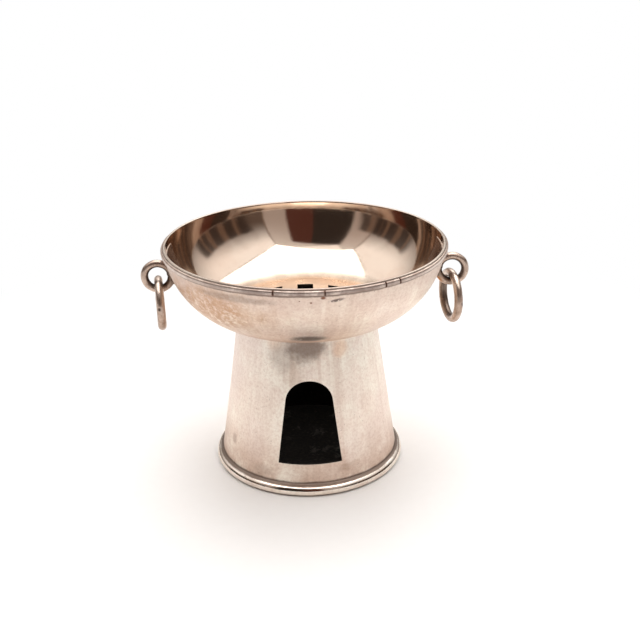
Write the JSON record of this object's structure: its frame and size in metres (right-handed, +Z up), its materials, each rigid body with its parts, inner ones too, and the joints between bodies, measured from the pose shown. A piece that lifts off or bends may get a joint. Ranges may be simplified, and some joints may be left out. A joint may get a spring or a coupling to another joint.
{
  "type": "standing table censer with ring handles",
  "caption": "Small footed metal censer: a round bowl with a slotted floor on a hollow conical pedestal with an arched door, and ring handles hanging from side eyes.",
  "frame": {"origin": "centre of the foot, on the surface that the censer stands on", "axes": "+Z up, -Y towards the arched door, +X towards the right ring handle seen from the door side"},
  "size_m": [0.1162, 0.1, 0.0835],
  "materials": {
    "plated_sheet": "worn silver plate over copper alloy, satin outside and polished inside",
    "rim_wire": "worn silver plate, polished on its crown",
    "foot_wire": "polished wire, slightly yellow",
    "handle_wire": "worn copper-brown wire, satin",
    "sooted_sheet": "matt soot over metal"
  },
  "bodies": {
    "burner": {"bowl": "plated_sheet", "rim_band": "rim_wire", "pedestal": "plated_sheet", "foot_ring": "foot_wire", "base_plate": "sooted_sheet", "left_strap": "plated_sheet", "right_strap": "plated_sheet", "left_eye": "handle_wire", "right_eye": "handle_wire"},
    "left_handle": {"left_ring": "handle_wire"},
    "right_handle": {"right_ring": "handle_wire"}
  },
  "joints": [
    {"name": "left_ring_swing", "type": "hinge", "parent": "burner", "child": "left_handle", "pos_m": [-0.05205, 0, 0.06945], "axis": [-0.1564, 0.9877, 0], "range_deg": [-49, 177]},
    {"name": "right_ring_swing", "type": "hinge", "parent": "burner", "child": "right_handle", "pos_m": [0.05205, 0, 0.06945], "axis": [0.1822, -0.9833, 0], "range_deg": [-49, 177]}
  ]
}
